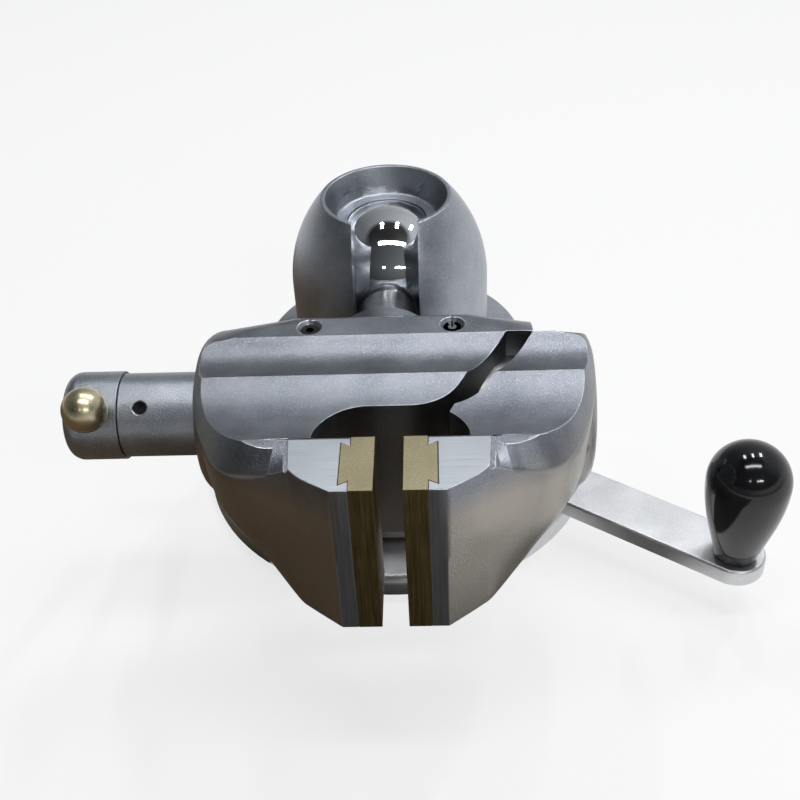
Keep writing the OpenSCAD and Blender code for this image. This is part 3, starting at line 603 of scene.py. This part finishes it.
# %% [markdown]
# ## The blank of the head
#
# The closed head is one smooth casting: rounded wings at the sides, cheeks in
# front of them, and a snout that carries the jaws. A sloping band runs round its
# top. The model holds it as hulls, which leave flat facets. Here its outlines
# are laid one above the other, each point of one belonging to a point of the
# next, and a smooth curve is drawn through them both ways. Sculpting would give
# softer forms, but not ones that can be measured.

# %% Outlines of the head, in millimetres from the ball's centre
# Right half of each outline, from the middle of the rear to the middle of the
# front: x, y and height of each point.
TOP_LINE = [(0, -112.5, 38), (40, -112.6, 38), (66, -113, 38), (73.6, -114.6, 38),
            (76.4, -118.6, 38), (76.2, -123, 38), (75.0, -136, 38), (72.0, -149, 38),
            (67.7, -160, 38), (63.4, -168, 38), (57.8, -175.8, 38), (52.6, -180.6, 38),
            (46.7, -183.4, 38), (42.2, -183.9, 38), (38.6, -182.8, 38), (36.0, -181.0, 38),
            (34.4, -180, 38), (33, -198, 38), (27.9, -203.6, 38), (16.4, -211, 38), (0, -211, 38)]
BAND_LINE = [(0, -97, 27), (40, -97, 27), (66, -97.4, 27), (77.6, -100, 27),
             (81.4, -107.5, 27), (81.5, -122.8, 27), (80.4, -136, 27), (78.2, -149, 27),
             (75.1, -161, 27), (70.8, -173, 27), (65.2, -183.6, 27), (58.6, -188.9, 27.2),
             (52.3, -190.9, 28), (46.6, -192.3, 29.6), (41.4, -194.2, 32), (37.2, -196.2, 34.6),
             (34.6, -197.6, 36.4), (32.9, -198.6, 36.8), (27.9, -204.0, 36.8), (16.4, -211, 36.8),
             (0, -211, 36.8)]
UPPER_LINE = [(0, -97.4, 12), (40, -97.4, 12), (66, -97.8, 12), (77.2, -100.6, 12),
              (80.8, -107.8, 12), (80.8, -123, 12), (79.6, -136, 12), (77.4, -149, 12),
              (74.1, -161, 12), (69.6, -172.8, 12), (63.6, -182.8, 12), (57.0, -188.2, 12),
              (51.0, -191.2, 12), (46.0, -193.8, 12), (41.4, -196.5, 12), (37.4, -198.8, 12),
              (34.0, -200.8, 12), (30.4, -202.9, 12), (25.0, -206.0, 12), (16.4, -211, 12),
              (0, -211, 12)]
WAIST_LINE = [(0, -98, -8), (40, -98, -8), (66, -98.6, -8), (76.2, -101.6, -8),
              (79.4, -108.4, -8), (79.5, -123, -8), (78.2, -136, -8), (75.6, -149, -8),
              (71.9, -160, -8), (67.0, -170.6, -8), (60.8, -179.8, -8), (54.4, -185.8, -8),
              (48.8, -189.6, -8), (43.9, -192.9, -8), (39.4, -195.9, -8), (35.4, -198.5, -8),
              (32.2, -200.6, -8), (28.8, -202.8, -8), (24.0, -206.0, -8), (16.4, -211, -8),
              (0, -211, -8)]
FOOT_LINE = [(0, -110, -38), (40, -110, -38), (64, -110.2, -38), (74.6, -111.8, -38),
             (79.4, -117.6, -38), (79.6, -124, -38), (76.0, -131.6, -38), (70.8, -140.2, -38),
             (65.0, -149.4, -38), (59.2, -158.4, -38), (53.4, -167.4, -38), (48.4, -175.2, -38),
             (43.8, -182.2, -38), (39.9, -188.2, -38), (36.8, -192.8, -38), (34.7, -195.8, -38),
             (32.6, -198.2, -38), (29.4, -200.8, -38), (24.4, -204.8, -38), (16.4, -211, -38),
             (0, -211, -38)]
CORNER_COLUMNS = (16, 17, 19)
FINE = 4


def through(a, b, c, d, t):
    """A point between b and c on a smooth curve that also heeds a and d."""
    return 0.5 * (2 * b + (c - a) * t + (2 * a - 5 * b + 4 * c - d) * t * t
                  + (3 * b - a - 3 * c + d) * t ** 3)


def refine_chain(points, corners=(), fine=FINE):
    """A chain with extra points on smooth curves, broken at the corners."""
    points = [Vector(p) for p in points]
    out = []
    for i in range(len(points) - 1):
        before = points[i - 1] if i > 0 and i not in corners else points[i]
        after = points[i + 2] if i + 2 < len(points) and i + 1 not in corners else points[i + 1]
        for step in range(fine):
            out.append(through(before, points[i], points[i + 1], after, step / fine))
    return out + [points[-1]]


def whole_outline(half):
    """The closed outline of both sides, from its right half."""
    left = [Vector((-p.x, p.y, p.z)) for p in reversed(half[1:-1])]
    return half + left


def head_levels():
    """Dense outlines from the top line down to the foot."""
    top, band, upper, waist, foot = [refine_chain(line, CORNER_COLUMNS) for line in
                                     (TOP_LINE, BAND_LINE, UPPER_LINE, WAIST_LINE, FOOT_LINE)]
    columns = [refine_chain(column, (), 6) for column in zip(band, upper, waist, foot)]
    rows = [[column[i] for column in columns] for i in range(len(columns[0]))]
    return [whole_outline(row) for row in [top] + rows]


levels = head_levels()
print("levels", len(levels), "points in each", len(levels[0]))

# %% Skin the outlines
def add_loop(bm, points):
    """A closed loop of edges through the points."""
    verts = [bm.verts.new(p) for p in points]
    return [bm.edges.new((verts[i - 1], verts[i])) for i in range(len(verts))]


def new_piece(bm, name):
    """Stores a bmesh as an object of its own."""
    bmesh.ops.recalc_face_normals(bm, faces=bm.faces)
    mesh = bpy.data.meshes.new(name)
    bm.to_mesh(mesh)
    bm.free()
    return link_object(name, mesh)


def head_skin():
    """The closed skin over all the outlines, with the band's edge softened."""
    bm = bmesh.new()
    loops = [add_loop(bm, outline) for outline in levels]
    for above, below in zip(loops, loops[1:]):
        bmesh.ops.bridge_loops(bm, edges=above + below)
    bmesh.ops.holes_fill(bm, edges=loops[0] + loops[-1], sides=0)
    count = len(levels[1])
    last = 14 * FINE
    band = [e for e in loops[1]
            if min(abs(v.co.x) for v in e.verts) > levels[1][last].x
            and min(v.co.y for v in e.verts) < -100]
    bmesh.ops.bevel(bm, geom=band, offset=1.3, offset_type="OFFSET", segments=3, profile=0.5,
                    affect="EDGES", material=-1, clamp_overlap=False)
    return new_piece(bm, "head_blank")


blank = head_skin()
print("blank faces", len(blank.data.polygons))

# %% [markdown]
# ## Cutting the head
#
# The works make the head whole and then bore and part it: a round barrel for the
# ram, two shallow hollows in the top with a crease between them, the throat, and
# the parting that runs from the throat up to the ledge. Boolean modifiers repeat
# those cuts with simple cutters, in that order. Modelling each half's faces
# one by one would never make the two sides of the parting fit so well.

# %% Cutters
RAM_Y, PAD_Y, FRONT_Y, LEDGE_Y, SIDE = -116.3, -180.0, -211.0, -110.7, 81.5
CREASE_Y = LEDGE_Y - 27.4


def rod(name, radius, start, end, far_radius=None, segments=96):
    """A round cutter or bar between two points."""
    start, end = Vector(start), Vector(end)
    bm = bmesh.new()
    bmesh.ops.create_cone(bm, cap_ends=True, segments=segments, radius1=radius,
                          radius2=radius if far_radius is None else far_radius,
                          depth=(end - start).length)
    turn = (end - start).to_track_quat("Z", "Y").to_matrix().to_4x4()
    bmesh.ops.transform(bm, matrix=Matrix.Translation((start + end) / 2) @ turn, verts=bm.verts)
    return new_piece(bm, name)


def prism(name, outline, low, high):
    """An upright block over a plan."""
    bm = bmesh.new()
    verts = [bm.verts.new((x, y, low)) for x, y in outline]
    face = bm.faces.new(verts)
    raised = bmesh.ops.extrude_face_region(bm, geom=[face])
    moved = [item for item in raised["geom"] if isinstance(item, bmesh.types.BMVert)]
    bmesh.ops.translate(bm, vec=(0, 0, high - low), verts=moved)
    return new_piece(bm, name)


def combine(piece, cutter, operation="DIFFERENCE"):
    """One boolean step; the cutter is used up."""
    step = piece.modifiers.new("step", "BOOLEAN")
    step.operation, step.solver, step.object = operation, "EXACT", cutter
    settled = bpy.data.meshes.new_from_object(
        piece.evaluated_get(bpy.context.evaluated_depsgraph_get()))
    piece.modifiers.clear()
    piece.data = settled
    bpy.data.objects.remove(cutter, do_unlink=True)


def spun_barrel():
    """The round barrel behind the ledge, cut level with the head."""
    bm = bmesh.new()
    points = [(-SIDE, 0.0)]
    for i in range(9):
        a = math.radians(180 - 90 * i / 8)
        points.append((-SIDE + 12 + 12 * math.cos(a), 25.5 + 12 * math.sin(a)))
    points += [(-38, 42), (38, 42)]
    for i in range(9):
        a = math.radians(90 - 90 * i / 8)
        points.append((SIDE - 12 + 12 * math.cos(a), 25.5 + 12 * math.sin(a)))
    points.append((SIDE, 0.0))
    chain = [bm.verts.new((x, RAM_Y, r)) for x, r in points]
    edges = [bm.edges.new(pair) for pair in zip(chain, chain[1:])]
    bmesh.ops.spin(bm, geom=chain + edges, cent=(0, RAM_Y, 0), axis=(1, 0, 0), dvec=(0, 0, 0),
                   angle=2 * math.pi, steps=120, use_merge=True, use_duplicate=False)
    bmesh.ops.remove_doubles(bm, verts=bm.verts, dist=0.002)
    for height in (-38, 38):
        bmesh.ops.bisect_plane(bm, geom=bm.verts[:] + bm.edges[:] + bm.faces[:],
                               plane_co=(0, 0, height), plane_no=(0, 0, math.copysign(1, height)),
                               clear_outer=True)
        rim = [e for e in bm.edges if e.is_boundary]
        bmesh.ops.holes_fill(bm, edges=rim, sides=0)
    return new_piece(bm, "barrel")


def arc_points(cx, cy, radius, first, last, steps=24):
    """Points on an arc in the plan, in degrees."""
    return [(cx + radius * math.cos(math.radians(first + (last - first) * i / steps)),
             cy + radius * math.sin(math.radians(first + (last - first) * i / steps)))
            for i in range(steps + 1)]


def parting_points(gap, first):
    """The fillet and the slant of the parting, moved out by a gap."""
    cx, cy, radius, slope = 13.04, RAM_Y - 16.4, 23.8 + gap, math.radians(58)
    curve = arc_points(cx, cy, radius, first, -32)
    run = (LEDGE_Y - gap - curve[-1][1]) / math.sin(slope)
    return curve + [(curve[-1][0] + run * math.cos(slope), curve[-1][1] + run * math.sin(slope))]


TOP, PAD_EDGE = 38, 34.4
KEY_X, KEY_Y, KEY_R = 13.3, (FRONT_Y + PAD_Y) / 2, 2.05
THROAT_Y = PAD_Y + 2
THROAT_R = (RAM_Y - 16.4) - 23.8 - THROAT_Y
SLANT_END = parting_points(0, 0)[-1][0]
TAIL_X = SLANT_END + 0.44 * (SIDE - SLANT_END)


def fixed_plan():
    """Everything that belongs to the fixed half, seen from above."""
    lean = math.degrees(math.asin(2 / THROAT_R))
    return ([(-9.6, FRONT_Y - 1), (-9.6, PAD_Y)]
            + arc_points(-4, THROAT_Y, THROAT_R, 180 + lean, 90) + parting_points(0, -90)
            + [(TAIL_X, LEDGE_Y), (TAIL_X, 0), (-SIDE - 1, 0), (-SIDE - 1, FRONT_Y - 1)])


def moving_plan():
    """Everything that belongs to the moving half, with the jaws closed."""
    lean = math.degrees(math.asin(2 / (THROAT_R + 0.5)))
    return ([(9.6, FRONT_Y - 1), (9.6, PAD_Y)]
            + arc_points(4, THROAT_Y, THROAT_R + 0.5, -lean, 50) + parting_points(0.5, -72.5)
            + [(TAIL_X + 0.5, LEDGE_Y - 0.5), (TAIL_X + 0.5, 0), (SIDE + 1, 0),
               (SIDE + 1, FRONT_Y - 1)])


print("throat radius", round(THROAT_R, 1), "mm, tail ends at", round(TAIL_X, 1), "mm")

# %% Cut the two halves
def top_hollow(rear, front):
    """A long shallow cylinder that hollows the top between two lines."""
    half, deep = (rear - front) / 2, 3.6
    radius = (half * half + deep * deep) / (2 * deep)
    centre = (rear + front) / 2
    return rod("hollow", radius, (-SIDE - 2, centre, 38 + radius - deep),
               (SIDE + 2, centre, 38 + radius - deep), segments=360)


def tail_slot(side):
    """The dovetail slot of an insert, on one side."""
    mid, foot, neck = (FRONT_Y + PAD_Y) / 2, 12.15, 10.15
    outline = [(side * -8.6, mid - neck), (side * -9.6, mid - neck), (side * -13.4, mid - foot),
               (side * -13.4, mid + foot), (side * -9.6, mid + neck), (side * -8.6, mid + neck)]
    return prism("slot", outline, -39, 39)


def pad_step(side):
    """Lowers the surface beside a pad a little, so that the pad stands out."""
    rear, front, far = -179.7, -198, 60
    step = prism("step", [(side * PAD_EDGE, rear), (side * 33, front), (side * far, front),
                          (side * far, rear)], 37, 41)
    for vert in step.data.vertices:
        if vert.co.z < TOP:
            vert.co.z += (abs(vert.co.x) - PAD_EDGE) / 22 + (vert.co.y - rear) / 20
    return step


def cut_half(name, plan, side):
    """One half of the head, in place, with all its cuts."""
    half = link_object(name, blank.data.copy())
    combine(half, spun_barrel(), "UNION")
    for rear, front in ((LEDGE_Y - 0.4, CREASE_Y - 1.6), (CREASE_Y, PAD_Y - 1.2)):
        combine(half, top_hollow(rear, front))
    combine(half, pad_step(-side))
    combine(half, prism("plan", plan, -45, 45), "INTERSECT")
    combine(half, tail_slot(side))
    combine(half, rod("key_hole", KEY_R, (side * -KEY_X, KEY_Y, -39), (side * -KEY_X, KEY_Y, -26),
                      segments=32))
    return half


fixed_half = cut_half("fixed_jaw_dressed", fixed_plan(), 1)
moving_half = cut_half("moving_jaw_dressed", moving_plan(), -1)
print("faces", len(fixed_half.data.polygons), len(moving_half.data.polygons))

# %% Bores, boss and ledge holes
def bevelled_boss():
    """The round boss that takes the stem, bevelled at its end."""
    boss = rod("boss", 26, (0, -90, 0), (0, -70, 0))
    bm = bmesh.new()
    bm.from_mesh(boss.data)
    end = [e for e in bm.edges if min(v.co.y for v in e.verts) > -70.01]
    bmesh.ops.bevel(bm, geom=end, offset=2, offset_type="OFFSET", segments=1, profile=0.5,
                    affect="EDGES", material=-1, clamp_overlap=True)
    bm.to_mesh(boss.data)
    bm.free()
    return boss


for cutter in (("ram_bore", 25.05, -70, 84), ("sleeve_bore", 19.02, -84, -69),
               ("sleeve_rim", 20.5, -84, -80)):
    combine(fixed_half, rod(cutter[0], cutter[1], (cutter[2], RAM_Y, 0), (cutter[3], RAM_Y, 0)))
combine(fixed_half, bevelled_boss(), "UNION")
combine(fixed_half, rod("spigot_hole", 11.02, (0, -88.05, 0), (0, -69, 0)))
LEDGE_SCREW_X, LEDGE_SCREW_Y, LEDGE_SCREW_R, SLIT_HALF = 31.5, -104.5, 4.05, 0.4
for side in (-1, 1):
    spot = Vector((side * LEDGE_SCREW_X, LEDGE_SCREW_Y, 0))
    combine(fixed_half, rod("set_screw_hole", LEDGE_SCREW_R, spot + Vector((0, 0, -4)),
                            spot + Vector((0, 0, 39)), segments=48))
    combine(fixed_half, rod("mouth", LEDGE_SCREW_R, spot + Vector((0, 0, 36.5)),
                            spot + Vector((0, 0, 39)), 6.55, segments=48))
    combine(fixed_half, prism("slit", [(spot.x - SLIT_HALF, spot.y), (spot.x + SLIT_HALF, spot.y),
                                       (spot.x + SLIT_HALF, -70), (spot.x - SLIT_HALF, -70)],
                              35.5, 40))
combine(moving_half, rod("ram_hole", 25.02, (0, RAM_Y, 0), (77.05, RAM_Y, 0)))
# The moving half slopes away behind the ledge line, so a block with a slanted
# floor is cut from it.
SLOPE_TOP, SLOPE_END, SLOPE_FALL = 36.6, -60, 43.3
back_slope = prism("back_slope", [(60, LEDGE_Y - 0.5), (90, LEDGE_Y - 0.5), (90, SLOPE_END),
                                  (60, SLOPE_END)], SLOPE_TOP, 60)
for vert in back_slope.data.vertices:
    if vert.co.z < SLOPE_TOP + 1 and vert.co.y > SLOPE_END - 1:
        vert.co.z = SLOPE_TOP - SLOPE_FALL
combine(moving_half, back_slope)
combine(moving_half, rod("pin_hole", 4.02, (70, RAM_Y, -39), (70, RAM_Y, -1), segments=48))
print("faces", len(fixed_half.data.polygons), len(moving_half.data.polygons))

# %% Place and finish the halves
def pick_finish(face):
    """Which of the half's finishes a face takes, from its place and direction; the dark milled
    steel beside the pads and at the front is painted shade.
    """
    spot, away = face.calc_center_median(), face.normal
    if 32 < abs(spot.x) < 40 and spot.z > 33 and spot.y < PAD_Y + 1 and abs(away.x) > 0.45:
        return 3
    if abs(spot.x) < 34.6:
        if away.z > 0.99 and spot.z > 37.8 and spot.y < PAD_Y - 0.1:
            return 2
        if away.y < -0.99 and spot.y < FRONT_Y + 0.2:
            return 3
    return 0


def finish_half(piece, node, shift):
    """Puts a half in its place, softens its edges and gives it its finishes."""
    mesh = piece.data
    mesh.materials.clear()
    for finish in (head_steel, edge_steel, milled, shaded_milled_front):
        mesh.materials.append(finish)
    bm = bmesh.new()
    bm.from_mesh(mesh)
    bmesh.ops.remove_doubles(bm, verts=bm.verts, dist=0.01)
    sharp, rounded = soften(bm, 0.3, 32)
    edge_faces = set(rounded)
    for face in bm.faces:
        face.smooth = True
        # Bevelled edges away from the crease take the lighter edge steel: filed edges and a
        # painted highlight.
        worn_and_highlit = face in edge_faces and abs(face.calc_center_median().y - CREASE_Y) > 2
        face.material_index = 1 if worn_and_highlit else pick_finish(face)
    bm.to_mesh(mesh)
    bm.free()
    mesh.transform(Matrix.Translation((shift * MM, 0, BALL_HEIGHT)) @ Matrix.Scale(MM, 4))
    mesh.set_sharp_from_angle(angle=math.radians(38))
    even = piece.modifiers.new("even_normals", "WEIGHTED_NORMAL")
    even.keep_sharp = True
    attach(piece, BODY_OF[node])
    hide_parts(node)
    print(node, "softened edges", len(sharp), "faces", len(mesh.polygons))


finish_half(fixed_half, "fixed_jaw", 0)
finish_half(moving_half, "moving_jaw", 11)
bpy.data.objects.remove(blank, do_unlink=True)

# %% [markdown]
# ## The knob
#
# The knob is a smooth pear of black plastic. Its outline swells from the foot in
# a quarter of a sine wave and closes in a half ball. The outline is drawn once,
# as a short chain of vertices, and spun round the knob's own axis.

# %% The knob
ARM_ANGLE = math.radians(-34.4)
ARM_REACH = 206.5 * MM
KNOB_LOW, KNOB_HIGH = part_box("crank_knob")
KNOB_AXIS = Vector((ARM_REACH * math.cos(ARM_ANGLE), ARM_REACH * math.sin(ARM_ANGLE), 0))
KNOB_HEIGHT = KNOB_HIGH[2] - KNOB_LOW[2]
FOOT_RADIUS, KNOB_RADIUS = 11 * MM, 20 * MM
SPINDLE_RADIUS, BORE_DEPTH = 4.05 * MM, 40 * MM


def spin_outline(bm, points, centre, axis=(0, 0, 1), steps=96):
    """Spins a chain of (radius, height) points round an upright axis."""
    chain = [bm.verts.new(centre + Vector((radius, 0, height))) for radius, height in points]
    edges = [bm.edges.new(pair) for pair in zip(chain, chain[1:])]
    bmesh.ops.spin(bm, geom=chain + edges, cent=centre, axis=axis, dvec=(0, 0, 0),
                   angle=2 * math.pi, steps=steps, use_merge=True, use_duplicate=False)
    bmesh.ops.remove_doubles(bm, verts=bm.verts, dist=0.002 * MM)
    bmesh.ops.recalc_face_normals(bm, faces=bm.faces)


def knob_outline():
    """From the spindle's bore round the foot, the swell and the top."""
    swell = KNOB_HEIGHT - KNOB_RADIUS
    points = [(0, BORE_DEPTH), (SPINDLE_RADIUS, BORE_DEPTH), (SPINDLE_RADIUS, 0.5 * MM),
              (SPINDLE_RADIUS + 0.5 * MM, 0), (FOOT_RADIUS - 0.6 * MM, 0),
              (FOOT_RADIUS - 0.1 * MM, 0.25 * MM)]
    for i in range(25):
        t = i / 24
        wave = math.sin(math.pi / 2 * t ** 1.1)
        points.append((FOOT_RADIUS + (KNOB_RADIUS - FOOT_RADIUS) * wave,
                       0.7 * MM + (swell - 0.7 * MM) * t))
    for i in range(1, 25):
        a = math.pi / 2 * i / 24
        points.append((KNOB_RADIUS * math.cos(a), swell + KNOB_RADIUS * math.sin(a)))
    return points


def finish_piece(bm, name, finish, node, sharp=35.0):
    """Turns a bmesh into a shaded piece that stands for a part."""
    mesh = bpy.data.meshes.new(name)
    bm.to_mesh(mesh)
    bm.free()
    for face in mesh.polygons:
        face.use_smooth = True
    mesh.set_sharp_from_angle(angle=math.radians(sharp))
    mesh.materials.append(finish)
    piece = link_object(name, mesh)
    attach(piece, BODY_OF[node])
    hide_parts(node)
    return piece


knob = bmesh.new()
spin_outline(knob, knob_outline(), KNOB_AXIS + Vector((0, 0, KNOB_LOW[2])))
knob_piece = finish_piece(knob, "crank_knob_dressed", plastic, "crank_knob")
print("knob height", round(KNOB_HEIGHT / MM, 1), "mm, faces", len(knob_piece.data.polygons))

# %% [markdown]
# ## The balls
#
# A polished ball shows every facet as a kink in its reflections, so both kinds
# of ball are made again as fine spheres. The big one is cut flat and bored
# where the stem enters it; the small ones are bored for the tommy bar.

# %% The polished ball
def ball_shape(name, radius, centre, rings):
    """A fine closed sphere."""
    bm = bmesh.new()
    bmesh.ops.create_uvsphere(bm, u_segments=2 * rings, v_segments=rings, radius=radius)
    bmesh.ops.translate(bm, vec=centre, verts=bm.verts)
    return new_piece(bm, name)


def settle(piece, node, finish, sharp=35.0):
    """Brings a piece in millimetres from the ball's centre to its final place."""
    mesh = piece.data
    mesh.transform(Matrix.Translation((0, 0, BALL_HEIGHT)) @ Matrix.Scale(MM, 4))
    for face in mesh.polygons:
        face.use_smooth = True
    mesh.set_sharp_from_angle(angle=math.radians(sharp))
    mesh.materials.clear()
    mesh.materials.append(finish)
    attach(piece, BODY_OF[node])
    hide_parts(node)
    print(node, "faces", len(mesh.polygons))


BALL_R, FLAT_R = 37.5, 14.35
FLAT_Y = -math.sqrt(BALL_R ** 2 - FLAT_R ** 2)
ball = ball_shape("ball_dressed", BALL_R, (0, 0, 0), 128)
combine(ball, rod("flat", FLAT_R, (0, FLAT_Y, 0), (0, -40, 0)))
combine(ball, rod("stem_hole", 8.05, (0, FLAT_Y + 20.3, 0), (0, -40, 0)))
settle(ball, "ball", chrome)

# %% The tommy bar's balls
BAR_CENTRE = Vector((-127.8, RAM_Y, 0))
BAR_TILT = math.radians(43.6)
BAR_AXIS = Vector((0, -math.cos(BAR_TILT), math.sin(BAR_TILT)))


def bar_balls():
    """Both brass balls of the tommy bar, bored for it, as one piece."""
    pair = []
    for place, inwards in ((30.3, -1), (-85.0, 1)):
        centre = BAR_CENTRE + BAR_AXIS * place
        one = ball_shape("bar_ball", 10, centre, 64)
        combine(one, rod("bar_hole", 5.02, centre - BAR_AXIS * inwards * 4.02,
                         centre + BAR_AXIS * inwards * 12, segments=64))
        pair.append(one)
    bm = bmesh.new()
    for one in pair:
        bm.from_mesh(one.data)
        bpy.data.objects.remove(one, do_unlink=True)
    return new_piece(bm, "tommy_balls_dressed")


settle(bar_balls(), "tommy_balls", ball_brass)

# %% [markdown]
# ## The view transform
#
# The view transform is set to Standard.

# %% Set the view transform
bpy.context.scene.view_settings.view_transform = "Standard"
